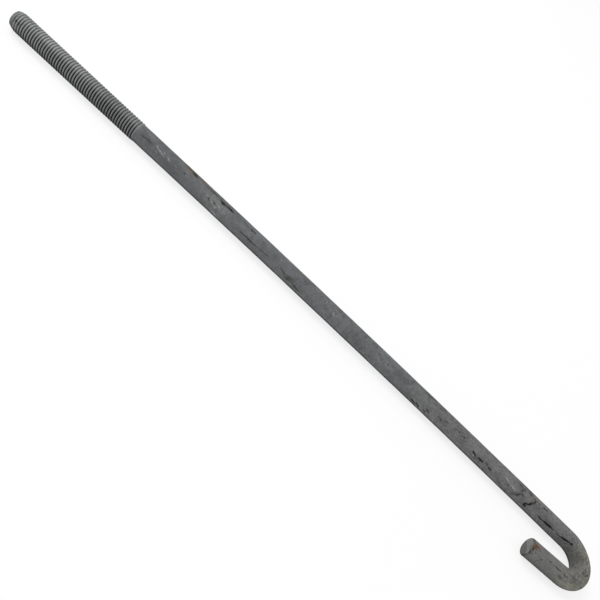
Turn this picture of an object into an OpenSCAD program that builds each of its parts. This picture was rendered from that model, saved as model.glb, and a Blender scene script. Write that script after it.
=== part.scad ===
// J-shaped anchor bolt: a round bar with a rolled coarse thread at one end and a
// hook bent at the other, lying on its side.
//
// Frame: the origin is the centre of the threaded end's face, +X runs along the
// thread towards the hook, the hook opens back along -X on the -Y side, and the
// whole J lies flat in the XY plane with +Z up.

/* [Bar] */
// Length over all, from the threaded end to the outside of the bend
overall_len = 476; // [200:1:600]
// Diameter of the plain bar
bar_d = 11.8; // [8:0.1:12.4]
// Angle between the two ends of the plain bar, which isn't quite straight
bow_angle = 2.05; // [0.5:0.05:6]

/* [Thread] */
// Diameter over the thread crests
thread_d = 12.7; // [12.5:0.1:15]
// Threads in each 25.4 mm
threads_per_inch = 13; // [9:1:20]
// Length of the threaded end
thread_len = 101.6; // [40:0.1:160]
// Included angle between the two flanks of a thread
flank_angle = 60; // [50:1:70]
// Width of the flat on each crest
crest_flat = 0.25; // [0.1:0.05:0.5]
// Width of the flat in each root
root_flat = 0.45; // [0.3:0.05:0.6]
// Diameter of the flat face at the threaded end
point_d = 9.6; // [7:0.1:10.2]
// Length of the taper behind that face
point_len = 5.2; // [2:0.1:10]

/* [Hook] */
// Radius of the bend, to the bar's centreline
bend_r = 13.5; // [8:0.1:40]
// Angle that the bar is turned through
bend_angle = 175; // [90:1:185]
// Diameter that the bar loses where it is drawn round the bend
bend_draw = 0.06; // [0.04:0.01:0.4]
// Straight length of the short leg past the bend
leg_len = 25.4; // [10:0.1:80]
// Rounding of the sheared edge at the end of the short leg
leg_edge_r = 0.9; // [0.2:0.1:2]

/* [Colour] */
// Colour of the zinc coat
zinc = "#6f7173"; // ["#6f7173", "#8b8d8f", "#5c5e60"]

/* [Hidden] */
$fn = 96;

// Length by which the bar at either side runs over the drawn bend
weld = 0.4;
// Facets along the long bow, for the preview mesh only
bow_facets = 24;

bar_r = bar_d / 2;
draw_r = bar_r - bend_draw / 2;
thread_r = thread_d / 2;
point_r = point_d / 2;

// Thread form: trapezoid teeth with flat crests and flat roots
pitch = 25.4 / threads_per_inch;
flank_w = (pitch - crest_flat - root_flat) / 2;
root_r = thread_r - flank_w / tan(flank_angle / 2);
tooth_w = 2 * flank_w + crest_flat;
last_tooth = floor((thread_len - tooth_w) / pitch);

// The plain bar starts buried under the last crest, and the bow starts with it
bar_x = last_tooth * pitch + tooth_w / 2;

// Radius of the bow, which brings the outside of the bend to the overall length
bow_r = bend_r + (overall_len - bar_x - bend_r - draw_r) / sin(bow_angle);
weld_angle = asin(weld / bow_r);

// One tooth at height z: root, rising flank, crest, falling flank
function tooth(z) = [
  [root_r, z],
  [thread_r, z + flank_w],
  [thread_r, z + flank_w + crest_flat],
  [root_r, z + tooth_w]
];

// Half outline of the whole row of teeth, closed on the axis
module tooth_row() {
  polygon(concat(
    [[0, 0]],
    [for (i = [0 : last_tooth]) each tooth(i * pitch)],
    [[0, last_tooth * pitch + tooth_w]]
  ));
}

// Half outline of the rod that the thread is rolled on, with its tapered point
module thread_blank() {
  polygon([
    [0, 0],
    [point_r, 0],
    [thread_r, point_len],
    [thread_r, thread_len],
    [0, thread_len]
  ]);
}

// Threaded end, along +Z from its face
module threaded_end() {
  rotate_extrude() intersection() {
    tooth_row();
    thread_blank();
  }
}

// Bar of radius r bent to bend radius c, from the origin and starting along +X,
// curling towards -Y
module curved_bar(r, c, angle, facets) {
  translate([0, -c, 0]) rotate([0, 0, 90])
    rotate_extrude(angle = -angle, $fn = ceil(facets * 360 / angle))
      translate([c, 0]) circle(r = r, $fn = 96);
}

// Moves its children to the far end of such a stretch
module after_curve(c, angle) {
  translate([c * sin(angle), c * cos(angle) - c, 0]) rotate([0, 0, -angle]) children();
}

// Short leg, along +X, with a rounded edge at its cut end
module short_leg() {
  rotate([0, 90, 0]) rotate_extrude() union() {
    translate([0, -weld]) square([bar_r, leg_len - leg_edge_r + weld]);
    square([bar_r - leg_edge_r, leg_len]);
    translate([bar_r - leg_edge_r, leg_len - leg_edge_r]) circle(r = leg_edge_r);
  }
}

// Plain bar, bend and short leg, from the last crest of the thread
module shank_and_hook() {
  curved_bar(bar_r, bow_r, bow_angle + weld_angle, bow_facets);
  after_curve(bow_r, bow_angle) {
    curved_bar(draw_r, bend_r, bend_angle, $fn);
    after_curve(bend_r, bend_angle) short_leg();
  }
}

module j_bolt() {
  color(zinc) union() {
    rotate([0, 90, 0]) threaded_end();
    translate([bar_x, 0, 0]) shank_and_hook();
  }
}

j_bolt();
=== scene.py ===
"""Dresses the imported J-bolt: a galvanised anchor bolt with a rolled thread and a hooked end.

The bar lies flat on a pale floor, just as it comes to rest.  Lengths inside the classes are
millimetres and angles are degrees unless a name says otherwise; meshes are written in metres.
"""

import logging
import math
from dataclasses import dataclass, fields
from enum import Enum
from functools import partial

import bpy
import numpy as np
from mathutils import Matrix, Vector


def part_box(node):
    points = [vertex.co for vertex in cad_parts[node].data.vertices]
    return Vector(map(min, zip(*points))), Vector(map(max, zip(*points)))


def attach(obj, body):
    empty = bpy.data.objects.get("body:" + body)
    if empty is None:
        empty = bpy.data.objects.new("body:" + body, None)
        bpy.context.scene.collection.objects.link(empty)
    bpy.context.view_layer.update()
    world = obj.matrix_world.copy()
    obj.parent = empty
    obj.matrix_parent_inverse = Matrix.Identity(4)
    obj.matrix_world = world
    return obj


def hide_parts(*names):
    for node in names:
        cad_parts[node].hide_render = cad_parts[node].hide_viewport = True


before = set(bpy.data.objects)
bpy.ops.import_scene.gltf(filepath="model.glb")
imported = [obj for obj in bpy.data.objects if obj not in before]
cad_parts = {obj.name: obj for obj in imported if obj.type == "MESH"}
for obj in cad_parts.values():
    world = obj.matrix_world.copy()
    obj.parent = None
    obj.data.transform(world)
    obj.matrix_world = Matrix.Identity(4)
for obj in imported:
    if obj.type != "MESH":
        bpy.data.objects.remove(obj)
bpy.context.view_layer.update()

NODE = "j_bolt"
PIECE = "galvanised_j_bolt"
BODY = "root"
BAR_MAP = "BarMap"
BAKE_MAP = "OFBake"
# The point attribute that holds the painted shade in the thread's roots.
HOLLOW = "hollow"
MM = 0.001
TURN = 2.0 * math.pi
# A dent is cut at least this wide, in mm, and fades out between these shares of its size.
NARROWEST_DENT = 1.1
DENT_FADE = (0.2, 1.15)
# Keys are whole numbers of this many to the millimetre, so that equal places are one vertex.
KEYS_PER_MM = 2e4
Socket = bpy.types.NodeSocket

log = logging.getLogger("j_bolt")


def smooth_step(x: np.ndarray, low: float, high: float) -> np.ndarray:
    """Rises from 0 at x = low to 1 at x = high along the cubic 3t^2 - 2t^3."""
    t = np.clip((x - low) / (high - low), 0.0, 1.0)
    return t * t * (3.0 - 2.0 * t)


def place_in_scene(name: str, data: bpy.types.ID) -> bpy.types.Object:
    """Makes an object of a mesh, light or camera and links it to the scene.

    Args:
        name: The object's name.
        data: What it holds.

    Returns:
        The object, at the origin.
    """
    made = bpy.data.objects.new(name, data)
    bpy.context.scene.collection.objects.link(made)
    return made


@dataclass(frozen=True)
class BoltSizes:
    """The bolt's driving dimensions, in millimetres and degrees."""

    overall: float
    thread_radius: float
    bar_radius: float = 5.9
    threads_per_inch: float = 13.0
    thread_length: float = 101.6
    crest_flat: float = 0.25
    root_flat: float = 0.45
    flank_angle: float = 60.0
    point_radius: float = 5.2
    point_lean: float = 0.3
    point_lean_angle: float = -25.0
    point_length: float = 5.2
    bow_start: float = 100.4
    bow_angle: float = 2.05
    bend_radius: float = 13.5
    bend_angle: float = 175.0
    leg_length: float = 25.4
    leg_edge: float = 0.7
    face_edge: float = 0.35

    @classmethod
    def from_frame(cls) -> "BoltSizes":
        """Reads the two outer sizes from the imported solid's box and keeps the rest."""
        low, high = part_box(NODE)
        return cls(overall=(high.x - low.x) / MM, thread_radius=high.z / MM)

    @property
    def pitch(self) -> float:
        """The distance from one crest to the next."""
        return 25.4 / self.threads_per_inch

    @property
    def flank(self) -> float:
        """How far along the axis one flank runs."""
        return (self.pitch - self.crest_flat - self.root_flat) / 2.0

    @property
    def root_radius(self) -> float:
        """The radius at the bottom of the thread."""
        slope = math.tan(math.radians(self.flank_angle / 2.0))
        return self.thread_radius - self.flank / slope

    @property
    def bow_radius(self) -> float:
        """The radius of the slow bow that makes the hook's back touch the overall length."""
        reach = self.overall - self.bow_start - self.bend_radius - self.bar_radius
        return self.bend_radius + reach / math.sin(math.radians(self.bow_angle))


@dataclass(frozen=True)
class Centreline:
    """The line through the middle of the bar: straight, a slow bow, the hook's bend and its leg."""

    sizes: BoltSizes

    @property
    def stations(self) -> tuple[float, float, float, float]:
        """How far along the bar each part runs.

        Returns:
            Where the straight, the bow, the bend and the leg end.
        """
        z = self.sizes
        bow = z.bow_start + z.bow_radius * math.radians(z.bow_angle)
        bend = bow + z.bend_radius * math.radians(z.bend_angle)
        return z.bow_start, bow, bend, bend + z.leg_length

    @property
    def length(self) -> float:
        """The length of the whole bar along its middle."""
        return self.stations[3]

    def follow(self, along: np.ndarray) -> tuple[np.ndarray, np.ndarray]:
        """Finds the line's points and headings.

        The heading h is 0 on the straight and grows by distance / radius on each arc, turning
        towards -Y.  A point on an arc is centre + radius * (sin h, cos h), so each part starts
        where the one before it ends.

        Args:
            along: Distances along the line.

        Returns:
            Points (n, 2) in the flat plane of the J, and headings (n,) in radians.
        """
        z = self.sizes
        straight, bow, bend, _ = self.stations
        h_bow = np.clip((along - straight) / z.bow_radius, 0.0, math.radians(z.bow_angle))
        h_bend = np.clip((along - bow) / z.bend_radius, 0.0, math.radians(z.bend_angle))
        heading = h_bow + h_bend
        run = np.minimum(along, straight)
        arc = z.bow_radius * np.stack((np.sin(h_bow), np.cos(h_bow) - 1.0), -1)
        hook = z.bend_radius * np.stack(
            (np.sin(heading) - np.sin(h_bow), np.cos(heading) - np.cos(h_bow)), -1
        )
        hook = np.where((along > bow)[..., None], hook, 0.0)
        end = np.stack((np.cos(heading), -np.sin(heading)), -1)
        tail = np.maximum(along - bend, 0.0)[..., None] * end
        points = arc + hook + tail
        points[..., 0] += run
        return points, heading

    def place(self, along: np.ndarray, angle: np.ndarray, radius: np.ndarray) -> np.ndarray:
        """Puts points on a tube round the line.

        A point is line(along) + radius * (cos angle * up - sin angle * side), where side is the
        heading turned to the left, so that 90 degrees is the inside of the hook all the way.

        Args:
            along: Distances along the line.
            angle: Angles round it in radians, from straight up.
            radius: Distances from it.

        Returns:
            Points (n, 3) in millimetres.
        """
        flat, heading = self.follow(along)
        side = np.stack((np.sin(heading), np.cos(heading)), -1)
        flat = flat - (radius * np.sin(angle))[..., None] * side
        return np.concatenate((flat, (radius * np.cos(angle))[..., None]), -1)


class Stain(Enum):
    """What a mark in the zinc is: its linear colour.  Each kind lies over those before it."""

    PALE = (0.205, 0.206, 0.208)
    YELLOW = (0.270, 0.264, 0.205)
    # SHADE is a dark grey: smudges and streaks, and painted shade on the inside of the hook's bend.
    SHADE = (0.052, 0.053, 0.053)
    OLIVE = (0.055, 0.056, 0.040)
    OCHRE = (0.135, 0.103, 0.072)
    SCALE = (0.036, 0.028, 0.020)
    RUST = (0.180, 0.088, 0.050)
    PIT = (0.010, 0.010, 0.009)
    BRIGHT = (0.420, 0.420, 0.440)


@dataclass(frozen=True)
class Mark:
    """One mark, from one place to another: millimetres along the bar and degrees round it."""

    stain: Stain
    from_mm: float
    from_deg: float
    to_mm: float
    to_deg: float
    width: float
    strength: float = 0.8
    soft: float = 0.8
    depth: float = 0.0

    def spread(self, bar_radius: float) -> tuple[float, float, float, float, float]:
        """The mark's ellipse on the bar's map.

        Args:
            bar_radius: What turns an angle into millimetres round the bar.

        Returns:
            Its middle (u, v), half its length, half its width, and its turn in radians.
        """
        u0, u1 = self.from_mm, self.to_mm
        v0, v1 = (math.radians(a) * bar_radius for a in (self.from_deg, self.to_deg))
        half = 0.5 * math.hypot(u1 - u0, v1 - v0) + 0.5 * self.width
        turn = math.atan2(v1 - v0, u1 - u0)
        return 0.5 * (u0 + u1), 0.5 * (v0 + v1), half, 0.5 * self.width, turn


Marks = tuple[Mark, ...]
# One maker of marks for each stain, in the order of Stain.
pale, yellow, shade, olive, ochre, scale, rust, pit, bright = (partial(Mark, s) for s in Stain)


@dataclass(frozen=True)
class Wear:
    """The marks on the bolt, in groups from the thread to the hook; a few dark ones on the inside
    of the bend are painted shade.
    """

    bar_radius: float
    ragged: float = 1.3
    point: Marks = (
        pit(4.2, 54, 5.8, 58, 1.4, 0.8, 0.8, 0.1), pit(6.4, 59, 8.4, 60, 1.4, 0.8, 0.8, 0.08),
        shade(4.8, 5, 6, 10, 1.2, 0.7), shade(1.2, 60, 3.2, 100, 2.4, 0.5, 1),
        pit(0.5, -4, 1.5, 14, 1.4, 0.7, 0.9), bright(1.8, 31, 2.8, 35, 1, 0.4),
        bright(4.4, 48, 5.2, 52, 0.8, 0.3), pit(10.6, 2, 12.2, 4, 1.1, 0.6),
        pit(15, 6, 16.2, 8, 1.1, 0.5), pit(18, 4, 18.8, 7, 1, 0.5),
        shade(3, 20, 9, 24, 1.6, 0.4, 1),
    )
    by_the_thread: Marks = (
        olive(105.6, 50, 110.4, 43, 1.6, 1, 0.7), olive(109.6, 43, 115, 45, 2.1, 1, 0.7),
        olive(111, 50, 115.6, 52, 1.6, 0.5), pale(104, -8, 118, 26, 5, 0.7, 1),
        shade(106, 26, 152, 70, 20, 0.3, 1), shade(114.6, 28, 116.6, 44, 1.2, 0.35, 0.9),
        bright(117.2, 29, 118.6, 41, 1.2, 0.6, 0.7), bright(118.6, 42, 121.6, 47, 1.5, 0.85, 0.7),
        bright(121.2, 46, 125, 52, 1.2, 0.6, 0.7), bright(123.2, 33, 123.9, 40, 1, 0.5, 0.7),
        bright(127, 40, 129.2, 50, 1.4, 0.75, 0.7), shade(119.6, 52, 124, 58, 1.2, 0.3, 0.9),
        bright(118, 58, 120, 65, 1, 0.35, 0.7), pale(114, 14, 132, 44, 6, 0.55, 1),
        bright(117, 85, 117.3, 95, 0.9, 0.3, 0.7), bright(133, 45, 135, 50, 1, 0.3, 0.7),
        shade(139.6, 38, 141.4, 46, 1.7, 1), bright(141.4, 44, 142.4, 50, 0.9, 0.25),
    )
    rust_patch: Marks = (
        ochre(135.5, -9, 147, 6, 4.6, 0.85, 1, 0.12), ochre(147, -12, 158, -2, 3.2, 0.85, 0.9),
        ochre(137.6, 3, 147.6, 15, 3.6, 0.5, 1), scale(136, -17, 145, -12, 1.7),
        scale(142.4, -10, 147.8, 4, 2.5, 1, 0.7, 0.2), scale(147.4, -18, 153.4, -15, 1.2, 0.7),
        rust(148.4, -9, 153, -6, 1.3, 0.5, 0.9), pit(144.6, -6, 146.6, 0, 1.5, 0.75),
        olive(152, -3, 166, 4, 2.1, 0.9), pit(154.6, -3, 168.4, 2, 1, 0.65, 0.6),
    )
    nicks: Marks = (
        pit(167.4, 10, 171.6, 16, 2.5, 1, 0.7, 0.3), pit(168.6, 18, 172.6, 8, 1.1, 0.6, 0.7),
        pit(170.4, 14, 174, 10, 1.3, 0.75), pit(173, 6, 178.2, 13, 2, 1, 0.7, 0.3),
        pit(171.6, 14, 175, 10, 1.9, 0.9), shade(165.6, 4, 175, 1, 2.6, 0.55, 0.9),
        yellow(158, 34, 181, 44, 9, 0.17, 1), pale(154, 42, 181, 54, 9.5, 0.9, 1),
        pale(160, 30, 171, 64, 7, 1, 1), pit(160.4, 48, 162.6, 60, 1.2, 0.7, 0.7),
        pit(164.8, 45, 166.8, 54, 1.2, 0.7, 0.7), bright(162.6, 50, 164.6, 58, 1.1, 0.3),
        bright(158.8, 40, 160.4, 44, 1, 0.3), bright(168.4, 42, 170.6, 52, 1.1, 0.3),
        bright(166, 62, 168.6, 68, 1.1, 0.4), bright(173, 48, 175, 56, 1, 0.3),
        shade(168, 70, 170.4, 78, 1.1, 0.45), shade(171, 44, 172, 58, 0.9, 0.5, 0.7),
        shade(174, 60, 176.2, 66, 0.9, 0.4, 0.7), bright(166.8, 97, 170.8, 107, 2, 0.6),
        bright(165, 89, 166, 98, 1.3, 0.45), olive(185.6, 5, 191.4, 18, 2, 0.65),
        pit(192.6, 8, 193.6, 20, 1.3, 0.9, 0.6), pit(193.8, 11, 196.2, 15, 1.2, 0.85, 0.6),
    )
    scratches: Marks = (
        pit(187.5, 67, 203.5, 67, 0.85, 0.85, 0.5, 0.08), pit(202.5, 67, 212.5, 60, 0.8, 0.5, 0.6),
        pit(202.8, 18, 203.5, 18, 1.3, 0.6, 0.7), shade(196, 35, 226, 40, 11, 0.1, 1),
        bright(217, 15, 219, 30, 1, 0.25), olive(220.2, 57, 226.4, 74, 1.9, 1, 0.7, 0.08),
        olive(226.2, 82, 231.4, 67, 4.6, 1, 0.8, 0.08), olive(230.4, 77, 238.4, 93, 2.2, 1, 0.7),
        bright(254.8, 15, 255.6, 26, 1, 0.3), bright(262.3, 41, 263.7, 51, 1.2, 0.45, 0.7),
        bright(270, 20, 274, 20, 0.9, 0.25), shade(258, 70, 268, 84, 3.4, 0.16, 1),
        shade(280.6, 30, 287.4, 38, 3.6, 0.2, 1), shade(301.2, 38, 302.8, 44, 1.3, 0.65),
        bright(300, 48, 302, 58, 1, 0.12), bright(305.4, 36, 306.2, 44, 1, 0.2),
        pit(306.8, 38, 307.6, 40, 1.2, 0.85), shade(299, 26, 300.6, 32, 1.2, 0.6),
        shade(300.8, 92, 302.2, 97, 1.5, 0.6), bright(300.4, 90, 300.9, 105, 0.9, 0.25),
        shade(324.8, 14, 325.5, 21, 1.2, 0.5, 0.7),
    )
    streaks: Marks = (
        pit(331, 92, 335.2, 102, 1.2, 1, 0.4, 0.25), pit(335, 89, 338.2, 99, 1.2, 1, 0.4, 0.2),
        pit(341.6, 70, 344.8, 82, 1.4, 0.75, 0.7, 0.2), pit(344.6, 70, 342.2, 82, 1.1, 0.65, 0.7),
        pit(341.1, 87, 342.9, 98, 1.4, 0.75, 0.6, 0.1),
        pit(334.4, -18, 346, -12, 2.6, 0.55, 0.9, 0.3), shade(336.6, -2, 341, 1, 1.2, 0.95),
        shade(341, 17, 347, 11, 1, 1), shade(346.6, 11, 351.8, 4, 1, 1),
        shade(342.6, -9, 354.6, -4, 1, 0.9), shade(334, 29, 336.2, 38, 1, 0.4),
        shade(349.8, 57, 350.6, 57, 1.4, 0.7, 0.7), shade(350.8, 56, 352.8, 63, 1.3, 0.7, 0.7),
        shade(354.8, 40, 356.7, 47, 1.3, 0.7, 0.7), pale(348.6, 88, 349.6, 101, 2.8, 0.9, 0.9),
    )
    pit_cluster: Marks = (
        pit(352, 58, 352.7, 60, 1, 0.75), pit(356, 41, 356.7, 43, 0.9, 0.7),
        pit(361.6, 41, 363.6, 38, 0.9, 0.65, 0.8, 0.12), pit(364.8, 36, 366, 33, 0.9, 0.6),
        pit(366.8, 24, 367.4, 26, 0.9, 0.5), pit(367.8, 46, 368.8, 44, 0.9, 0.5),
        bright(368.6, 48, 369, 49, 0.9, 0.35), pit(369.4, 38, 370.4, 42, 1.3, 0.85, 0.8, 0.15),
        pit(371.4, 47, 372.2, 45, 0.9, 0.55), shade(363, 30, 372.4, 40, 4.4, 0.22, 1),
        pale(374, 18, 386, 50, 6, 0.9, 1), pit(379.2, 60, 382.2, 74, 1.5, 1, 0.5, 0.35),
        bright(380.6, 76, 381.2, 79, 1.3, 1, 0.7), shade(382, 84, 383.4, 91, 1.2, 0.7, 0.7),
        pit(383.8, 66, 388.2, 69, 1.5, 1, 0.5, 0.3), pit(383.4, 78, 384.4, 77, 0.9, 0.7, 0.7),
        pit(392, 65, 394.8, 71, 1.6, 0.85, 0.6, 0.18), pit(389, 58, 391.4, 60, 1.3, 0.75, 0.6),
        shade(388, 46, 396, 56, 1.1, 0.4), pale(396, 16, 416, 46, 7.5, 0.9, 1),
        bright(403.2, 36, 406.8, 43, 1.6, 0.5), bright(408.2, 46, 413.4, 55, 1.7, 0.5),
        pit(407.2, 61, 408.1, 61, 1.4, 0.7, 0.6), shade(401.6, 87, 406.4, 99, 2, 0.7),
    )
    forked_smudge: Marks = (
        shade(411.4, -1, 416.6, 12, 2, 1, 0.9), shade(417.4, -3, 417.8, 19, 1.8, 1, 0.9),
        shade(414.4, 29, 417.4, 18, 1.6, 0.9, 0.9), shade(416.6, 17, 416.2, 42, 2, 1, 0.9),
        shade(416.2, 40, 419.6, 48, 1.7, 1, 0.9), shade(416.4, 50, 415.4, 71, 2.2, 1),
        shade(415.2, 70, 412.4, 87, 1.7, 0.85, 0.9), pit(416, 10, 416.9, 14, 1.2, 0.75),
        pit(415.9, 26, 416.4, 32, 1.2, 0.65), pit(416.2, 48, 416.7, 54, 1.1, 0.7),
        pit(415.9, 61, 415.3, 68, 1.2, 0.75), pit(417.4, 43, 418.8, 47, 0.9, 0.6),
        pit(411, -28, 424, -16, 2.2, 0.7, 0.9, 0.1), pit(420.2, -1, 423.8, 6, 1.6, 0.75, 0.7),
    )
    rusty_crack: Marks = (
        olive(421.4, 74, 424, 92, 3.4, 0.55, 0.9), olive(426.8, 20, 424.6, 66, 2.6, 0.6, 0.9),
        scale(425.1, 7, 426.8, 16, 1.2, 0.9, 0.7, 0.1),
        scale(426.9, 13, 426.2, 32, 1.6, 1, 0.7, 0.2),
        scale(426, 30, 424.8, 54, 1.7, 0.95, 0.7, 0.2), rust(425, 5, 426.2, 14, 1.2, 0.6, 0.9),
        rust(425, 28, 425.6, 38, 1.1, 0.55, 0.9), pit(425.7, 38, 425.1, 50, 1, 0.8, 0.6, 0.2),
        pit(424.8, 48, 424.6, 61, 1.6, 1, 0.5, 0.35), pit(424.6, 61, 422.9, 67, 1.3, 1, 0.5, 0.3),
        pit(422.9, 66, 422.3, 81, 1.5, 1, 0.5, 0.4), pit(422.5, 80, 424, 82, 1.3, 1, 0.5, 0.3),
        pit(429.1, 11, 429.8, 14, 1.3, 0.75, 0.7, 0.1),
        pit(432.7, 9, 433.5, 11, 1.6, 0.85, 0.7, 0.12), pit(433.8, 9, 436, 8, 1.2, 0.8, 0.7),
        pit(437.9, -9, 438.9, -5, 1.3, 0.7, 0.7, 0.1), shade(440.4, 21, 441.2, 23, 1.2, 0.6),
    )
    hook_gouges: Marks = (
        pit(432.4, 71, 439.4, 70, 1.1, 0.95, 0.5, 0.2),
        pit(436.6, 70, 444.8, 66, 1.5, 1, 0.35, 0.5), shade(434.8, 50, 443.4, 57, 0.9, 0.6, 0.7),
        pit(447.8, 69, 451.6, 65, 0.9, 0.85, 0.5, 0.15),
        pit(451.4, 65, 455.6, 57, 1.7, 1, 0.35, 0.4), pit(455.4, 57, 460.4, 51, 1, 1, 0.4, 0.3),
        pit(458.2, 53, 460, 51, 1.7, 1, 0.4, 0.35), shade(446.8, 4, 447.5, 13, 1, 0.4),
        shade(447.4, -6, 448.4, -3, 1.3, 0.6),
    )
    hook_bend: Marks = (
        yellow(463, 0, 478, -20, 9, 0.75, 1), yellow(476, -30, 490, -60, 10, 0.5, 1),
        pale(366, -10, 440, 8, 12, 0.3, 1), pale(426, -8, 470, 6, 9, 0.75, 1),
        pale(424, 60, 458, 84, 7, 0.35, 1), pale(440, 42, 462, 36, 6, 0.6, 1),
        # shade(454, 96, ...) is painted shade along the inside of the bend.
        shade(454, 96, 494, 96, 11, 0.7, 1), olive(462, 62, 482, 52, 9, 0.42, 1),
        yellow(488.5, -60, 499.5, -74, 6, 0.95, 1), olive(466, 88, 482, 52, 2.6, 0.5, 0.9),
        pit(484, -12, 484.8, -9, 1.1, 0.6), pit(481.8, -18, 482.4, -15, 1.1, 0.6),
        shade(492.6, -18, 495.8, -7, 1.6, 0.75, 0.7), shade(481.2, -16, 485, -5, 1.3, 0.65, 0.7),
        shade(483.8, 0, 486.4, 0, 1.3, 0.6, 0.7), shade(470, -30, 472, -26, 1.1, 0.6, 0.7),
        pit(476, -112, 477.6, -90, 1.3, 0.75, 0.7, 0.1), pit(486, -70, 488, -62, 1.2, 0.6, 0.7),
        pit(462, -130, 464.5, -120, 1.3, 0.8, 0.6, 0.1),
        pit(457.5, -138, 460.5, -136, 1.4, 0.9, 0.6, 0.1),
    )
    leg: Marks = (
        pit(497.4, -34, 500.9, -29, 1.1, 0.75, 0.7),
        pit(501.6, -30, 507.6, -27, 1, 0.75, 0.6, 0.08), pit(509.6, -24, 512.2, -29, 0.9, 0.5, 0.7),
        pale(501, -12, 515, -18, 3.4, 0.45, 1), shade(500.2, -61, 502.4, -52, 2.2, 1, 0.9),
        scale(520.4, -27, 524.2, -20, 1.5, 0.85), rust(520.2, -18, 524, -13, 2.2, 0.9, 0.8, 0.05),
        scale(519.4, -10, 523.4, -5, 1.4, 0.9), rust(518.6, -3, 523, 3, 1.7, 0.85, 0.8, 0.05),
        pit(521.6, -15, 523.2, -13, 1, 0.55), pit(522.6, -44, 523.6, -28, 1.4, 0.85, 0.7, 0.12),
        pit(522.8, -72, 523.8, -50, 1.5, 0.7, 0.8, 0.12), pit(521.8, -58, 522.4, -56, 0.9, 0.7),
        pit(521, -42, 521.4, -40, 0.8, 0.7), pit(519, -20, 519.4, -18, 0.9, 0.65),
        pit(515.4, -49, 516, -47, 1, 0.5), shade(517.6, -88, 517.2, -68, 0.9),
        shade(517, -68, 515.8, -46, 0.9), bright(516, -37, 509.4, -35, 0.9, 0.18, 1),
        shade(503, -78, 514, -70, 6, 0.2, 1), pit(524.2, -64, 524.8, -36, 1.5, 0.6, 0.9),
        shade(524.8, -34, 527, -4, 3.2, 0.5, 1), shade(526, 60, 527, 110, 1.4, 0.4, 0.9),
        pale(526.6, -20, 527.6, 40, 1.6, 0.4, 0.9), shade(524.6, 130, 525.4, 170, 1.4, 0.5, 0.9),
        pit(514.4, -1, 514.9, 1, 1, 0.5),
    )
    clouds: Marks = (
        bright(7, 52, 17, 64, 6, 0.14, 1), bright(24, 24, 38, 18, 5, 0.1, 1),
        shade(66, 6, 92, 18, 5, 0.32, 1), shade(118, 40, 126, 36, 5, 0.3, 1),
        pale(160, 24, 180, 16, 5, 0.6, 1), shade(185, 58, 193, 72, 4, 0.22, 1),
        shade(206, 18, 226, 40, 6, 0.3, 1), pale(254, 28, 274, 36, 6, 0.5, 1),
        shade(354, 52, 366, 62, 5, 0.22, 1), shade(373, 74, 384, 86, 4, 0.28, 1),
        pale(384, 50, 392, 56, 5, 0.4, 1), olive(413, 74, 416.8, 48, 3.4, 0.5, 1),
        # shade(461, 56, ...) is painted shade towards the inside of the bend.
        pale(446, 32, 458, 24, 6, 0.5, 1), shade(461, 56, 478, 58, 8, 0.4, 1),
        yellow(472, 12, 485, -28, 6, 0.45, 1),
    )
    underneath: Marks = (
        scale(231, -112, 246, -104, 3.4, 0.7, 0.9, 0.1),
        rust(238, -113, 243.5, -106, 1.8, 0.4, 0.9), pit(126, -96, 133, -90, 1.2, 0.8, 0.5, 0.2),
        pit(161, -70, 178, -74, 0.7, 0.6, 0.5, 0.08), olive(190, -128, 203, -118, 2.6, 0.6, 0.9),
        bright(207, -84, 211, -78, 1.1, 0.5, 0.7), pit(268, -88, 274, -80, 1.3, 0.85, 0.5, 0.25),
        pit(289, -122, 297, -117, 0.9, 0.7, 0.5, 0.15), bright(312, -66, 316, -60, 1, 0.45, 0.7),
        shade(322, -100, 336, -84, 3, 0.4, 1), pit(352, -72, 358, -66, 1.2, 0.8, 0.5, 0.2),
        scale(377, -128, 390, -122, 2.6, 0.65, 0.9, 0.1),
        pit(404, -92, 411, -99, 1.3, 0.9, 0.5, 0.3), pit(430, -62, 441, -66, 0.8, 0.7, 0.5, 0.1),
        olive(444, -104, 452, -96, 2.2, 0.5, 0.9), pit(300, 152, 309, 156, 1.2, 0.8, 0.5, 0.2),
        olive(148, 158, 166, 152, 2.8, 0.6, 0.9), pit(503, 120, 509, 112, 1.1, 0.8, 0.5, 0.2),
        scale(488, 140, 497, 128, 2.4, 0.6, 0.9, 0.1),
    )

    @property
    def marks(self) -> Marks:
        """All the marks, group after group."""
        groups = (getattr(self, f.name) for f in fields(self))
        return tuple(mark for group in groups if isinstance(group, tuple) for mark in group)

    def relief(self, along: np.ndarray, angle: np.ndarray) -> np.ndarray:
        """How deep the marks are eaten into the zinc.

        On the bar's map each mark is an ellipse: with p and q the distances along and across it
        as shares of its half length and half width, its depth fades as 1 - smooth_step of
        sqrt(p^2 + q^2).  The deepest mark at a point counts.

        Args:
            along: Distances along the bar.
            angle: Angles round it in radians.

        Returns:
            Millimetres to take off the radius.
        """
        deepest = np.zeros(np.broadcast(along, angle).shape)
        for mark in self.marks:
            if mark.depth <= 0.0:
                continue
            u, v, half, side, turn = mark.spread(self.bar_radius)
            du, dv = along - u, angle * self.bar_radius - v
            p = (du * math.cos(turn) + dv * math.sin(turn)) / half
            q = (dv * math.cos(turn) - du * math.sin(turn)) / max(side, NARROWEST_DENT / 2.0)
            share = 1.0 - smooth_step(np.hypot(p, q), *DENT_FADE)
            deepest = np.maximum(deepest, mark.depth * share)
        return deepest

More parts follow.
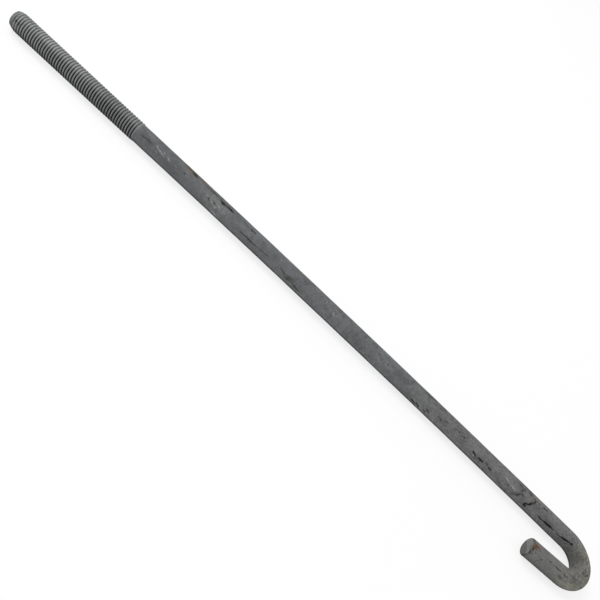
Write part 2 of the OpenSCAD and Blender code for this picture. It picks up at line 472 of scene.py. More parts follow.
    def stations(self, low: float, high: float, fine: float, coarse: float) -> np.ndarray:
        """Spaces rows along the bar: fine beside a mark that has depth, coarse elsewhere.

        The spacing's reciprocal is summed along the bar, and rows stand where the sum passes
        whole numbers.

        Args:
            low: The first row.
            high: The last row.
            fine: The spacing beside a deep mark.
            coarse: The spacing elsewhere.

        Returns:
            Distances along the bar.
        """
        at = np.linspace(low, high, 8001)
        near = np.zeros_like(at)
        for mark in self.marks:
            if mark.depth > 0.0:
                middle = 0.5 * (mark.from_mm + mark.to_mm)
                half = 0.5 * abs(mark.to_mm - mark.from_mm)
                beside = smooth_step(np.abs(at - middle), half + 0.8, half + 2.0)
                near = np.maximum(near, 1.0 - beside)
        density = 1.0 / coarse + (1.0 / fine - 1.0 / coarse) * near
        steps = 0.5 * (density[1:] + density[:-1]) * np.diff(at)
        total = np.concatenate(([0.0], np.cumsum(steps)))
        rows = np.linspace(0.0, total[-1], int(math.ceil(total[-1])) + 1)
        return np.interp(rows, total, at)


@dataclass(frozen=True)
class ThreadForm:
    """A right-handed rolled thread, softened by its zinc, with a tapered point and a run-out."""

    sizes: BoltSizes
    first_crest: float = 1.48
    filled_turns: float = 4.2
    rounding: float = 0.45
    fullness: float = 1.6
    filled_share: float = 0.2
    coat: float = 0.12
    coat_rise: tuple[float, float] = (1.0, 5.0)
    drawn_turns: float = 0.45
    drawn_reach: float = 15.0
    lean_reach: float = 1.2
    point_swell: float = 0.22
    first_turn_depth: float = 0.12
    root_run_out: tuple[float, float] = (99.9, 101.9)
    crest_run_out: tuple[float, float] = (101.1, 102.6)

    @property
    def end(self) -> float:
        """Where the last of the thread has died into the bar."""
        return self.crest_run_out[1] + 0.2

    def hollow(self, along: np.ndarray, angle: np.ndarray) -> np.ndarray:
        """How far down the flank a point is, from 0 on a crest to 1 in a root.

        The crest is where (along - first - drawn) / pitch - angle / turn is whole; drawn, the
        little that the first turns are pressed along, dies away as exp(-along / drawn reach).
        From its edge the flank falls as a power of the way down, partly eased into a cubic at
        both ends, so that the crests are full and round.

        Args:
            along: Distances along the bar.
            angle: Angles round it in radians.

        Returns:
            The share of the thread's depth.
        """
        z = self.sizes
        drawn = self.drawn_turns * np.exp(-along / self.drawn_reach)
        phase = (along - self.first_crest - drawn) / z.pitch - angle / TURN
        off = np.abs(phase - np.round(phase)) * z.pitch
        t = np.clip((off - z.crest_flat / 2.0) / z.flank, 0.0, 1.0) ** self.fullness
        return (1.0 - self.rounding) * t + self.rounding * t * t * (3.0 - 2.0 * t)

    def lean(self, along: np.ndarray, angle: np.ndarray) -> np.ndarray:
        """How far the sheared point stands to one side.

        It is lean * cos(angle - lean angle), dying away along the point.

        Args:
            along: Distances along the bar.
            angle: Angles round it in radians.

        Returns:
            Millimetres to add to the point's radius.
        """
        z = self.sizes
        share = np.clip(1.0 - along / (self.lean_reach * z.point_length), 0.0, 1.0)
        return z.point_lean * share * np.cos(angle - math.radians(z.point_lean_angle))

    def radius(self, along: np.ndarray, angle: np.ndarray) -> np.ndarray:
        """The zinc's surface: crest line less the thread's depth times its hollow.

        The crest line is the lower of the thread's radius and a cone at the point, and it sinks
        to the bar at the run-out.  The root line starts just under the cone, sinks to its full
        depth over the first turns and rises to the bar at the run-out.

        Args:
            along: Distances along the bar.
            angle: Angles round it in radians.

        Returns:
            Distances from the bar's middle.
        """
        z = self.sizes
        up = np.clip(along / z.point_length, 0.0, 1.0)
        cone = z.point_radius + (z.thread_radius - z.point_radius) * up
        cone = cone + self.point_swell * np.sin(up * math.pi)
        cone = cone + self.lean(along, angle)
        crest = np.minimum(cone, z.thread_radius) + self.coat * smooth_step(along, *self.coat_rise)
        crest += (z.bar_radius + self.coat - crest) * smooth_step(along, *self.crest_run_out)
        cut = smooth_step(along, -0.3 * z.pitch, self.filled_turns * z.pitch)
        depth = (z.thread_radius - z.root_radius) * (1.0 - self.filled_share)
        depth = depth * (self.first_turn_depth + (1.0 - self.first_turn_depth) * cut)
        root = np.maximum(crest - depth, 0.0)
        root += (z.bar_radius + self.coat - root) * smooth_step(along, *self.root_run_out)
        return crest + (np.minimum(root, crest) - crest) * self.hollow(along, angle)


@dataclass(frozen=True)
class BoltSkin:
    """The bolt's whole outer surface as one closed mesh."""

    sizes: BoltSizes
    line: Centreline
    thread: ThreadForm
    wear: Wear
    columns: int = 72
    fine_step: float = 0.5
    coarse_step: float = 1.15
    thread_rows: tuple[float, ...] = (
        0.0, 0.085, 0.16, 0.24, 0.32, 0.405, 0.5, 0.595, 0.68, 0.76, 0.84, 0.915
    )
    face_rows: tuple[float, ...] = (0.0, 0.25, 0.5, 0.75, 0.93, 1.0)
    rim_rows: tuple[float, ...] = (18.0, 36.0, 54.0, 72.0, 90.0)
    dish: float = 0.12
    wave_height: float = 0.045
    bloom: float = 0.03
    waves: tuple[tuple[float, float, float, float], ...] = (
        (0.35, 5.3, 2.0, 1.0),
        (0.30, 11.9, -1.0, 2.3),
        (0.20, 3.1, 3.0, 0.7),
        (0.15, 1.9, -5.0, 0.0),
    )

    def radius(self, along: np.ndarray, angle: np.ndarray) -> np.ndarray:
        """The surface's distance from the middle: thread and bar, with the zinc's slow waves.

        Each wave is share * sin(along / length + lobes * angle + phase).  They calm down
        towards the thread, the coat thins along the bar, and the marks' relief is taken off.

        Args:
            along: Distances along the bar.
            angle: Angles round it in radians.

        Returns:
            Distances from the bar's middle.
        """
        z = self.sizes
        end = self.thread.end
        thinned = np.clip((along - end) / (0.6 * z.overall), 0.0, 1.0)
        bar = z.bar_radius + self.thread.coat * (1.0 - thinned)
        bare = np.where(along < end, self.thread.radius(along, angle), bar)
        wave = sum(
            share * np.sin(along / length + lobes * angle + phase)
            for share, length, lobes, phase in self.waves
        )
        calm = smooth_step(along, end, end + 6.0)
        proud = self.wave_height * wave * calm + self.bloom * calm
        return bare + proud - self.wear.relief(along, angle)

    def end_rows(self, rim: float, edge: float) -> tuple[np.ndarray, np.ndarray]:
        """Rows over an end face, from its middle out and round its rounded rim.

        Over the flat of the face the setback is nearly nothing; round the rim a quarter circle
        gives radius = rim - edge * (1 - sin q) and setback = edge * (1 - cos q).

        Args:
            rim: The radius outside the rounding.
            edge: The rounding's radius.

        Returns:
            Radii and setbacks along the bar, from the pole to the rim.
        """
        flat = np.array(self.face_rows) * (rim - edge)
        q = np.radians(np.array(self.rim_rows))
        radii = np.concatenate((flat, rim - edge + edge * np.sin(q)))
        dish = self.dish * (flat / rim) ** 2
        back = np.concatenate((dish, dish[-1] + edge * (1.0 - np.cos(q))))
        return radii, back

    def from_rim(self, radii: np.ndarray, back: np.ndarray) -> np.ndarray:
        """How far each row of an end face lies from the rim, from the rim to the pole."""
        steps = np.hypot(np.diff(radii), np.diff(back))[::-1]
        return np.cumsum(np.append(0.0, steps))

    def root_shade(self, along: np.ndarray, angle: np.ndarray) -> np.ndarray:
        """How much painted shade lies down the thread: its hollow, less at the point and past the
        end.

        Args:
            along: Distances along the bar.
            angle: Angles round it in radians.

        Returns:
            Shares from 0 on a crest to 1 in a full root.
        """
        share = self.thread.hollow(along, angle)
        share = share * (1.0 - smooth_step(along, *self.thread.root_run_out))
        share *= 0.3 + 0.5 * smooth_step(along, 1.2, 3.2) + 0.2 * smooth_step(along, 4.0, 12.0)
        clean = (1.0 - smooth_step(along, 1.0, 12.0)) * smooth_step(angle, 1.0, 1.65)
        return share * (1.0 - 0.5 * clean)

    def patch(self, rows: np.ndarray) -> np.ndarray:
        """Four-cornered cells between neighbouring rows and columns.

        Args:
            rows: A distance along the bar for each row and column, (rows, columns + 1).

        Returns:
            Cells (n, 4, 2) of corner distances and column numbers, faces outward.
        """
        cols = np.broadcast_to(np.arange(self.columns + 1.0), rows.shape)
        grid = np.stack((rows, cols), -1)
        cells = np.stack((grid[:-1, :-1], grid[:-1, 1:], grid[1:, 1:], grid[1:, :-1]), -2)
        return cells.reshape(-1, 4, 2)

    def thread_patch(self, low: float, high: float) -> np.ndarray:
        """Cells whose rows climb with the helix: each row moves on by one pitch in a turn.

        Args:
            low: Where the thread's patch begins.
            high: Where it ends.

        Returns:
            Cells as patch() gives them.
        """
        z = self.sizes
        turns = np.arange(-2, math.ceil((high - low) / z.pitch) + 2)
        base = (turns[:, None] + np.array(self.thread_rows)[None, :]).ravel()
        shear = np.arange(self.columns + 1.0) / self.columns - 0.5
        start = self.thread.first_crest + z.pitch * (base[:, None] + shear[None, :])
        return self.patch(np.clip(start, low, high))

    def build(self) -> bpy.types.Object:
        """Makes the closed mesh with its maps.

        Rows near an end face are given by a negative distance, or one past the bar's length:
        its size is how far the row lies inside the rim.

        Returns:
            The mesh object, in metres, at the origin.
        """
        z = self.sizes
        length = self.line.length
        tip_r, tip_back = self.end_rows(z.point_radius, z.face_edge)
        leg_r, leg_back = self.end_rows(z.bar_radius, z.leg_edge)
        low, high = float(tip_back[-1]), self.thread.end
        stop = length - float(leg_back[-1])
        bar = self.wear.stations(high, stop, self.fine_step, self.coarse_step)
        tip_key = low - self.from_rim(tip_r, tip_back)[::-1]
        leg_key = stop + self.from_rim(leg_r, leg_back)
        spread = np.ones((1, self.columns + 1))
        cells = np.concatenate(
            (
                self.patch(tip_key[:, None] * spread),
                self.thread_patch(low, high),
                self.patch(bar[:, None] * spread),
                self.patch(leg_key[:, None] * spread),
            )
        )
        poles = (cells[..., 0] < tip_key[0] + 1e-6) | (cells[..., 0] > leg_key[-1] - 1e-6)
        column = np.where(poles, 0.0, np.mod(cells[..., 1], self.columns))
        keys = np.stack((np.round(cells[..., 0] * KEYS_PER_MM), column), -1).astype(np.int64)
        merged, corner = np.unique(keys.reshape(-1, 2), axis=0, return_inverse=True)
        corner = corner.reshape(-1, 4)
        first = np.zeros(len(merged), np.int64)
        first[corner.ravel()] = np.arange(corner.size)
        key = cells[..., 0].ravel()[first]
        angle = (merged[:, 1] / self.columns - 0.5) * TURN
        along = np.where(key < low, np.interp(key, tip_key, tip_back), key)
        along = np.where(key > stop, np.interp(key, leg_key, length - leg_back[::-1]), along)
        rim = 1.0 + self.thread.lean(np.zeros_like(key), angle) / z.point_radius
        inside = np.where(key < low, np.interp(key, tip_key, tip_r) * rim, np.inf)
        inside = np.where(key > stop, np.interp(key, leg_key, leg_r[::-1]), inside)
        radius = np.minimum(self.radius(np.clip(along, low, stop), angle), inside)
        points = self.line.place(along, angle, radius) * MM
        keep = corner != np.roll(corner, -1, axis=1)
        keep[keep.sum(axis=1) < 3] = False
        mesh = self.write_mesh(points, corner, keep)
        self.write_maps(mesh, cells, keep, (tip_key[0], low, stop, leg_key[-1]))
        # The hollow attribute holds the painted shade in the thread's roots.
        layer = mesh.attributes.new(HOLLOW, "FLOAT", "POINT")
        layer.data.foreach_set("value", self.root_shade(along, angle).astype(np.float32))
        return place_in_scene(PIECE, mesh)

    def write_mesh(
        self, points: np.ndarray, corner: np.ndarray, keep: np.ndarray
    ) -> bpy.types.Mesh:
        """Puts points and cells into a new mesh, as quads, or triangles where two corners meet.

        Args:
            points: Places of the vertices.
            corner: Four vertex numbers for each cell.
            keep: Which of those corners are used.

        Returns:
            The mesh, shaded smooth.
        """
        loops = corner[keep]
        count = keep.sum(axis=1)
        count = count[count > 0]
        mesh = bpy.data.meshes.new(PIECE)
        mesh.vertices.add(len(points))
        mesh.vertices.foreach_set("co", points.astype(np.float32).ravel())
        mesh.loops.add(len(loops))
        mesh.loops.foreach_set("vertex_index", loops.astype(np.int32))
        mesh.polygons.add(len(count))
        start = np.concatenate(([0], np.cumsum(count)[:-1]))
        mesh.polygons.foreach_set("loop_start", start.astype(np.int32))
        mesh.polygons.foreach_set("use_smooth", np.ones(len(count), bool))
        mesh.update(calc_edges=True)
        mesh.validate()
        return mesh

    def write_maps(
        self, mesh: bpy.types.Mesh, cells: np.ndarray, keep: np.ndarray, keys: tuple[float, ...]
    ) -> None:
        """Writes the bar's own map and the even map that its finish can be baked on.

        On the bar's map, u is the distance along and v is bar radius times angle, both in
        millimetres.  The even map cuts the bar into strips side by side, with a disc for each
        end face above them.

        Args:
            mesh: The mesh to write on.
            cells: Corner distances and column numbers, as patch() gives them.
            keep: Which of the corners are used.
            keys: The distances of the tip's middle and rim, and of the leg's rim and middle.
        """
        key = cells[..., 0]
        angle = (cells[..., 1] / self.columns - 0.5) * TURN
        own = np.stack((key, self.sizes.bar_radius * angle), -1)[keep]
        layer = mesh.uv_layers.new(name=BAR_MAP, do_init=False)
        layer.uv.foreach_set("vector", own.astype(np.float32).ravel())

        strips, body_share, gap, margin = 4, 0.9, 0.012, 0.006
        disc_row, disc_radius, tip_disc, leg_disc = 0.95, 0.04, 0.1, 0.3
        tip, low, stop, leg = keys
        middle = key.mean(axis=1, keepdims=True)
        each = (stop - low) / strips
        strip = np.clip(np.floor((middle - low) / each), 0, strips - 1)
        u = (strip + gap + (1.0 - 2.0 * gap) * (angle / TURN + 0.5)) / strips
        v = margin + (body_share - 2.0 * margin) * (key - low - strip * each) / each
        even = np.stack((u, v), -1)
        for pole, rim, at, side in ((tip, low, tip_disc, -1.0), (leg, stop, leg_disc, 1.0)):
            on_face = (middle < low) if side < 0 else (middle > stop)
            reach = disc_radius * np.abs(key - pole) / abs(rim - pole)
            down = disc_row + side * reach * np.cos(angle)
            disc = np.stack((at + reach * np.sin(angle), down), -1)
            even = np.where(on_face[..., None], disc, even)
        layer = mesh.uv_layers.new(name=BAKE_MAP, do_init=False)
        layer.uv.foreach_set("vector", even[keep].astype(np.float32).ravel())
        mesh.uv_layers.active = mesh.uv_layers[BAR_MAP]
        mesh.uv_layers[BAR_MAP].active_render = True


class Nodes:
    """A small maker of shader nodes that keeps one tree's wiring short."""

    def __init__(self, tree: bpy.types.NodeTree) -> None:
        """Keeps the tree to work on."""
        self.tree = tree

    def add(self, kind: str, **settings: object) -> bpy.types.Node:
        """Adds a node.

        Args:
            kind: The node's type name.
            **settings: Plain properties, set by name.

        Returns:
            The node.
        """
        node = self.tree.nodes.new(kind)
        for name, value in settings.items():
            setattr(node, name, value)
        return node

    def feed(self, socket: Socket, value: object) -> None:
        """Links a socket to value if that is a socket too, and otherwise stores it there.

        Args:
            socket: The input that is fed.
            value: A socket, or what the input takes.
        """
        if isinstance(value, Socket):
            self.tree.links.new(value, socket)
        else:
            socket.default_value = value

    def feed_all(self, node: bpy.types.Node, *values: object) -> None:
        """Feeds a node's inputs in their order."""
        for socket, value in zip(node.inputs, values):
            self.feed(socket, value)

    def fill(self, node: bpy.types.Node, values: dict[str, object]) -> None:
        """Feeds a node's inputs by name."""
        for name, value in values.items():
            self.feed(node.inputs[name], value)

    def math(self, operation: str, *values: object, clamp: bool = False) -> Socket:
        """Works out one Math node's result.

        Args:
            operation: The node's operation.
            *values: Sockets or numbers.
            clamp: Whether the result is held between 0 and 1.

        Returns:
            The result.
        """
        node = self.add("ShaderNodeMath", operation=operation, use_clamp=clamp)
        self.feed_all(node, *values)
        return node.outputs[0]

    def times(self, a: object, b: object) -> Socket:
        """Multiplies two sockets or numbers."""
        return self.math("MULTIPLY", a, b)

    def noise(
        self, where: Socket, per_metre: float, detail: float, rough: float, out: str = "Fac"
    ) -> Socket:
        """A noise of per_metre lumps a metre, from 0 to 1.

        Args:
            where: The coordinates that it reads.
            per_metre: How many lumps there are in a metre.
            detail: How many finer layers it has.
            rough: How strong each finer layer is beside the last.
            out: The output that is wanted.

        Returns:
            The noise's value or colour.
        """
        node = self.add("ShaderNodeTexNoise")
        values = {"Vector": where, "Scale": per_metre, "Detail": detail, "Roughness": rough}
        self.fill(node, values)
        return node.outputs[out]

    def remap(
        self, value: object, a: object, b: object, low: object, high: object, smooth: bool = False
    ) -> Socket:
        """Maps a..b to low..high, held at both ends.

        Args:
            value: What is mapped.
            a: The value that gives low.
            b: The value that gives high.
            low: The result at a.
            high: The result at b.
            smooth: Whether the change is eased at its ends.

        Returns:
            The mapped value.
        """
        way = "SMOOTHSTEP" if smooth else "LINEAR"
        node = self.add("ShaderNodeMapRange", interpolation_type=way, clamp=not smooth)
        self.feed_all(node, value, a, b, low, high)
        return node.outputs[0]

    def ease(self, value: object, a: object, b: object, low: object, high: object) -> Socket:
        """Maps a..b to low..high as remap() does, eased at both ends."""
        return self.remap(value, a, b, low, high, smooth=True)

    def blend(self, share: object, a: object, b: object) -> Socket:
        """Mixes two colours.

        Args:
            share: How much of b there is.
            a: The colour below.
            b: The colour above.

        Returns:
            The mixed colour.
        """
        node = self.add("ShaderNodeMix", data_type="RGBA", blend_type="MIX")
        self.feed(node.inputs[0], share)
        self.feed(node.inputs[6], a)
        self.feed(node.inputs[7], b)
        return node.outputs[2]

    def marked(self, where: Socket, wear: Wear, stain: Stain) -> Socket:
        """The share of one stain: the greatest of its marks' shares, each fading as an ellipse.

        Args:
            where: Coordinates on the bar's map, already made ragged.
            wear: The marks.
            stain: The stain that is wanted.

        Returns:
            The share, from 0 to 1.
        """
        total: object = 0.0
        for mark in (m for m in wear.marks if m.stain is stain):
            u, v, half, side, turn = mark.spread(wear.bar_radius)
            to = self.add("ShaderNodeMapping", vector_type="TEXTURE")
            self.fill(to, {"Vector": where, "Location": (u, v, 0.0), "Rotation": (0.0, 0.0, turn)})
            self.fill(to, {"Scale": (1.1 * half, 1.1 * side, 1.0)})
            ball = self.add("ShaderNodeTexGradient", gradient_type="SPHERICAL")
            self.feed(ball.inputs[0], to.outputs[0])
            share = self.ease(ball.outputs["Fac"], 0.0, mark.soft, 0.0, mark.strength)
            total = self.math("MAXIMUM", share, total)
        return total


class BarNodes(Nodes):
    """A node maker that knows the places on the bar.

    where is Object coordinates and bar_map the bar's own map, along is its millimetres along
    the bar, v its millimetres round from the top, and threaded 1 on the thread and 0 past it.
    """

    def __init__(self, tree: bpy.types.NodeTree, thread_length: float) -> None:
        """Keeps the tree and makes the places.

        Args:
            tree: The tree to work on.
            thread_length: Where the thread ends.
        """
        super().__init__(tree)
        self.where = self.add("ShaderNodeTexCoord").outputs["Object"]
        self.bar_map = self.add("ShaderNodeUVMap", uv_map=BAR_MAP).outputs[0]
        split = self.add("ShaderNodeSeparateXYZ")
        self.feed(split.inputs[0], self.bar_map)
        self.along, self.v = split.outputs[0], split.outputs[1]
        self.threaded = self.remap(self.along, thread_length, thread_length + 1.0, 1.0, 0.0)


def grey(value: float, warm: float = 0.0, green: float = 0.0) -> tuple[float, ...]:
    """A colour round a linear grey, pushed towards red by warm and towards green by green."""
    return (value * (1.0 + warm), value * (1.0 + green), value * (1.0 - warm), 1.0)


@dataclass(frozen=True)
class GalvanisedFinish:
    """Dull weathered zinc: matte mottled grey and its marks, with painted light on the thread's
    crests and painted shade in its roots and under the bar.
    """

    wear: Wear
    sizes: BoltSizes
    name: str = "galvanised_zinc"
    base: float = 0.137
    metallic: float = 0.12
    thread_metallic: float = 0.3
    roughness: float = 0.74
    thread_polish: float = 0.25
    specular: float = 0.1
    blotch: float = 0.10
    mottle: float = 0.20
    speck: float = 0.24
    tip_zone: tuple[float, float] = (1.0, 11.0)
    far_zone: tuple[float, float] = (190.0, 300.0)
    bend_zone: tuple[float, float] = (448.0, 468.0)
    leg_zone: tuple[float, float] = (490.0, 503.0)

    @property
    def length(self) -> float:
        """The bar's length along its middle."""
        return Centreline(self.sizes).length

    def hue(self, n: BarNodes) -> Socket:
        """The zinc's cast along the bar: cool, then neutral, and warm round the bend.

        Args:
            n: The tree's node maker.

        Returns:
            The colour before its tone.
        """
        along, length = n.along, self.length
        rolled = grey(self.base, -0.018, 0.016)
        cool = grey(self.base, -0.042, 0.0)
        plain = grey(self.base, 0.0, 0.0)
        warm = grey(self.base, 0.05, 0.03)
        end = self.sizes.thread_length
        cool = n.blend(n.remap(along, end - 2.0, end + 2.0, 0.0, 1.0), rolled, cool)
        cast = n.blend(n.remap(along, 0.58 * length, 0.66 * length, 0.0, 1.0), cool, plain)
        bend = n.ease(along, 0.875 * length, 0.9 * length, 0.0, 1.0)
        leg = n.ease(along, 0.95 * length, 0.97 * length, 1.0, 0.45)
        return n.blend(n.times(bend, leg), cast, warm)

    def rolled(self, n: BarNodes) -> Socket:
        """The thread's tone: painted light on the crests, strongest on top, and painted shade in
        the roots, deepest away from the top.

        Args:
            n: The tree's node maker.

        Returns:
            A factor on the zinc's colour, 1 on the plain bar.
        """
        hollow = n.add("ShaderNodeAttribute", attribute_name=HOLLOW).outputs["Fac"]
        off_top = n.math("ABSOLUTE", n.v)
        # Painted light and shade: the crests are lightened, more on top, and the roots are
        # darkened, more away from the top.
        crest = n.remap(n.along, 10.0, 95.0, 2.22, 1.82)
        crest = n.times(crest, n.ease(n.along, 0.0, 5.0, 0.5, 1.0))
        crest = n.times(crest, n.remap(off_top, -1.0, 9.0, 1.1, 0.73))
        root = n.ease(off_top, 0.0, 6.5, 0.72, 0.05)
        rolled = n.times(crest, n.ease(hollow, 0.22, 0.84, 1.0, root))
        return n.remap(n.threaded, 0.0, 1.0, 1.0, rolled)

    def mottled(self, n: BarNodes, speck: Socket) -> Socket:
        """The tone of the zinc's own texture, from broad blotches to specks.

        Args:
            n: The tree's node maker.
            speck: The finest of its noises.

        Returns:
            A factor about 1.
        """
        along = n.along
        blotch = n.noise(n.where, 60.0, 2.0, 0.5)
        mottle = n.noise(n.where, 300.0, 3.0, 0.6)
        tip = n.ease(along, *self.tip_zone, 1.0, 0.0)
        bend = n.ease(along, *self.bend_zone, 0.0, 1.0)
        past = n.ease(along, *self.leg_zone, 0.0, 1.0)
        far = n.remap(along, *self.far_zone, 1.0, 1.35)
        rough = n.math("MULTIPLY_ADD", tip, 1.9, n.math("MULTIPLY_ADD", n.threaded, -0.45, far))
        tone = n.remap(blotch, 0.3, 0.7, 1.0 - self.blotch, 1.0 + self.blotch)
        layers = ((mottle, self.mottle, 0.35, -1.1), (speck, self.speck, 2.15, -2.6))
        for lump, strength, on_bend, on_leg in layers:
            here = n.math("MULTIPLY_ADD", past, on_leg, rough)
            here = n.math("MULTIPLY_ADD", bend, on_bend, here)
            swing = n.remap(lump, 0.25, 0.75, -strength, strength)
            tone = n.math("MULTIPLY_ADD", swing, here, tone)
        return tone

    def painted_shade(self, n: BarNodes, tone: Socket) -> Socket:
        """Paints shade on the side that faces down and in a band high on the back, and darkens the
        leg's sheared rim.

        Args:
            n: The tree's node maker.
            tone: The tone so far.

        Returns:
            The tone with the painted shade in it.
        """
        along, v, length = n.along, n.v, self.length
        # Painted shade: darker where the bar faces down and in a band on its back, where less light
        # falls.
        deep = n.remap(n.threaded, 0.0, 1.0, 0.28, 0.16)
        under = n.ease(v, n.remap(n.threaded, 0.0, 1.0, 9.9, 8.4), 13.0, 1.0, deep)
        on_leg = n.remap(along, 0.935 * length, 0.955 * length, 0.0, 1.0)
        back_low = n.remap(on_leg, 0.0, 1.0, -13.6, -12.4)
        back_high = n.remap(on_leg, 0.0, 1.0, -11.6, -7.2)
        back = n.ease(v, back_low, back_high, 0.45, 1.0)
        back = n.times(back, n.remap(v, -13.4, -11.6, 0.55, 1.0))
        tone = n.times(tone, n.ease(along, 0.935 * length, 0.96 * length, 1.0, 1.15))
        face = n.ease(along, length - 0.3, length + 0.5, 0.0, 0.6)
        edge = n.ease(along, length - 1.0, length - 0.5, 1.0, 0.6)
        rim = n.times(edge, n.ease(along, length, length + 1.0, 1.0, 1.8))
        painted_shade_factor = n.math("MAXIMUM", n.times(under, back), face)
        return n.times(tone, n.times(painted_shade_factor, rim))

    def stained(self, n: BarNodes, colour: Socket, speck: Socket) -> tuple[Socket, Socket]:
        """Lays the stains over the zinc, one kind after another, ragged and broken by the specks.

        Args:
            n: The tree's node maker.
            colour: The zinc's colour.
            speck: The noise that breaks the stains up.

        Returns:
            The stained colour, and how far the zinc is eaten away.
        """
        stray = n.noise(n.where, 900.0, 2.0, 0.5, out="Color")
        push = n.add("ShaderNodeVectorMath", operation="MULTIPLY_ADD")
        reach = self.wear.ragged
        shift = (stray, (reach, reach, 0.0), (-0.5 * reach, -0.5 * reach, 0.0))
        n.feed_all(push, *shift)
        ragged = n.add("ShaderNodeMapping", vector_type="POINT")
        n.fill(ragged, {"Vector": n.bar_map, "Location": push.outputs[0]})
        solid = n.remap(speck, 0.36, 0.56, 0.8, 1.0)
        crumbled = n.remap(speck, 0.4, 0.56, 0.35, 1.0)
        flecked = n.remap(speck, 0.42, 0.58, 0.3, 1.0)
        breaks = dict.fromkeys((Stain.PIT, Stain.SCALE, Stain.OCHRE, Stain.RUST), solid)
        breaks.update(dict.fromkeys((Stain.PALE, Stain.BRIGHT, Stain.YELLOW), flecked))
        eaten: object = 0.0
        for stain in Stain:
            share = n.marked(ragged.outputs[0], self.wear, stain)
            share = n.times(share, breaks.get(stain, crumbled))
            colour = n.blend(share, colour, (*stain.value, 1.0))
            if stain in (Stain.PIT, Stain.SCALE, Stain.RUST):
                eaten = n.math("MAXIMUM", share, eaten)
        return colour, eaten

    def material(self) -> bpy.types.Material:
        """Builds the procedural material.

        Returns:
            The material, ready to be put on a piece.
        """
        made = bpy.data.materials.new(self.name)
        made.use_nodes = True
        n = BarNodes(made.node_tree, self.sizes.thread_length)
        speck = n.noise(n.where, 1100.0, 3.0, 0.65)
        grain = n.noise(n.where, 2600.0, 2.0, 0.6)
        tone = n.times(self.mottled(n, speck), self.rolled(n))
        zinc = n.add("ShaderNodeVectorMath", operation="SCALE")
        n.feed(zinc.inputs[0], self.hue(n))
        n.feed(zinc.inputs["Scale"], self.painted_shade(n, tone))
        colour, eaten = self.stained(n, zinc.outputs[0], speck)
        dull = n.remap(speck, 0.3, 0.7, self.roughness - 0.06, self.roughness + 0.06)
        dull = n.math("SUBTRACT", dull, n.times(n.threaded, self.thread_polish))
        metal = n.remap(n.threaded, 0.0, 1.0, self.metallic, self.thread_metallic)
        height = n.math("ADD", speck, n.times(grain, 0.5))
        height = n.math("SUBTRACT", height, n.times(eaten, 1.2))
        bump = n.add("ShaderNodeBump")
        n.fill(bump, {"Strength": 0.4, "Distance": 0.0002, "Height": height})
        finish = {
            "Base Color": colour,
            "Roughness": n.math("ADD", dull, n.times(eaten, 0.18), clamp=True),
            "Metallic": n.times(metal, n.math("SUBTRACT", 1.0, eaten)),
            "Specular IOR Level": self.specular,
            "Normal": bump.outputs[0],
        }
        n.fill(made.node_tree.nodes["Principled BSDF"], finish)
        return made


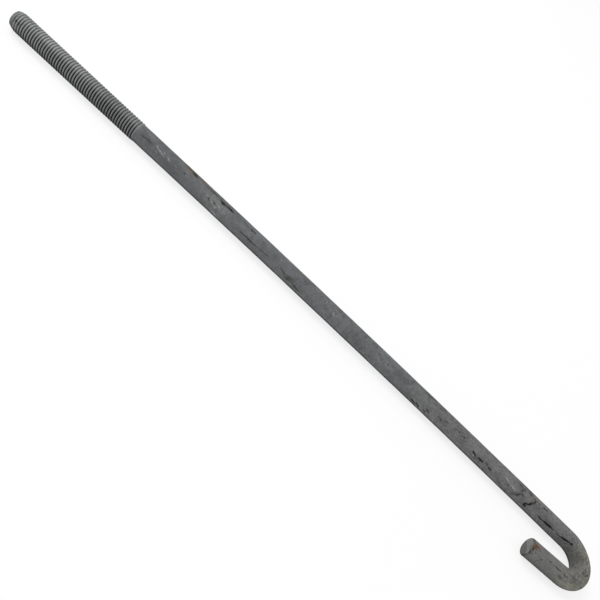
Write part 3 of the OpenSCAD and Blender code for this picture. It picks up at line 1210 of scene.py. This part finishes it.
@dataclass(frozen=True)
class Studio:
    """A pale floor, soft light and the camera that looks down along the bar."""

    coat: float
    floor_half: float = 30.0
    aim: tuple[float, float] = (242.4, -11.9)
    distance: float = 397.3
    azimuth: float = -0.13
    elevation: float = 40.72
    roll: float = 42.94
    lens: float = 40.19
    floor_grey: float = 0.2
    floor_glow: float = 0.78
    surround: float = 0.75
    lamp_place: tuple[float, float, float] = (-1.1, 0.15, 1.6)
    lamp_side: float = 1.0
    lamp_watts: float = 21.0

    def floor(self) -> None:
        """Lays the pale floor under the bolt's lowest point."""
        low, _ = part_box(NODE)
        h = self.floor_half
        mesh = bpy.data.meshes.new("floor")
        corners = np.array([(-h, -h), (h, -h), (h, h), (-h, h)])
        points = np.column_stack((corners, np.full(4, low.z - self.coat * MM)))
        mesh.from_pydata(points.tolist(), [], [(0, 1, 2, 3)])
        made = bpy.data.materials.new("pale_floor")
        made.use_nodes = True
        finish = {
            "Base Color": grey(self.floor_grey),
            "Roughness": 0.9,
            "Specular IOR Level": 0.1,
            "Emission Color": grey(1.0),
            "Emission Strength": self.floor_glow,
        }
        Nodes(made.node_tree).fill(made.node_tree.nodes["Principled BSDF"], finish)
        mesh.materials.append(made)
        place_in_scene("floor", mesh)

    def light(self) -> None:
        """Lights the bolt with one square softbox from above and behind, in a plain surround."""
        light = bpy.data.lights.new("softbox", "AREA")
        light.size = self.lamp_side
        light.energy = self.lamp_watts
        lamp = place_in_scene("softbox", light)
        aim = Vector((*self.aim, 0.0)) * MM
        lamp.location = self.lamp_place
        lamp.rotation_mode = "QUATERNION"
        lamp.rotation_quaternion = (aim - Vector(self.lamp_place)).to_track_quat("-Z", "Y")
        world = bpy.data.worlds.new("surround")
        world.use_nodes = True
        back = world.node_tree.nodes["Background"]
        Nodes(world.node_tree).fill(back, {"Color": grey(1.0), "Strength": self.surround})
        bpy.context.scene.world = world
        bpy.context.scene.view_settings.view_transform = "Standard"

    def camera(self) -> None:
        """Sets the camera: back from the aim along azimuth and elevation, then rolled."""
        data = bpy.data.cameras.new("camera")
        data.lens = self.lens
        data.sensor_width = 36.0
        data.clip_start, data.clip_end = 0.01, 50.0
        a, e = math.radians(self.azimuth), math.radians(self.elevation)
        back = Vector((math.sin(a) * math.cos(e), -math.cos(a) * math.cos(e), math.sin(e)))
        camera = place_in_scene("camera", data)
        turn = (-back).to_track_quat("-Z", "Y").to_matrix().to_4x4()
        turn = turn @ Matrix.Rotation(math.radians(self.roll), 4, "Z")
        aim = Vector((*self.aim, 0.0))
        camera.matrix_world = Matrix.Translation((aim + back * self.distance) * MM) @ turn
        bpy.context.scene.camera = camera

    def build(self) -> None:
        """Sets up the floor, the light and the camera."""
        self.floor()
        self.light()
        self.camera()


def main() -> None:
    """Builds the bolt and its studio."""
    sizes = BoltSizes.from_frame()
    thread = ThreadForm(sizes)
    Studio(thread.coat).build()
    line = Centreline(sizes)
    wear = Wear(sizes.bar_radius)
    bolt = BoltSkin(sizes, line, thread, wear).build()
    bolt.data.materials.append(GalvanisedFinish(wear, sizes).material())
    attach(bolt, BODY)
    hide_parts(NODE)
    triangles = sum(len(p.vertices) - 2 for p in bolt.data.polygons)
    log.info("%s: %d triangles, bar %.1f mm", bolt.name, triangles, line.length)


if __name__ == "__main__":
    logging.basicConfig(level=logging.INFO, format="%(name)s: %(message)s")
    main()
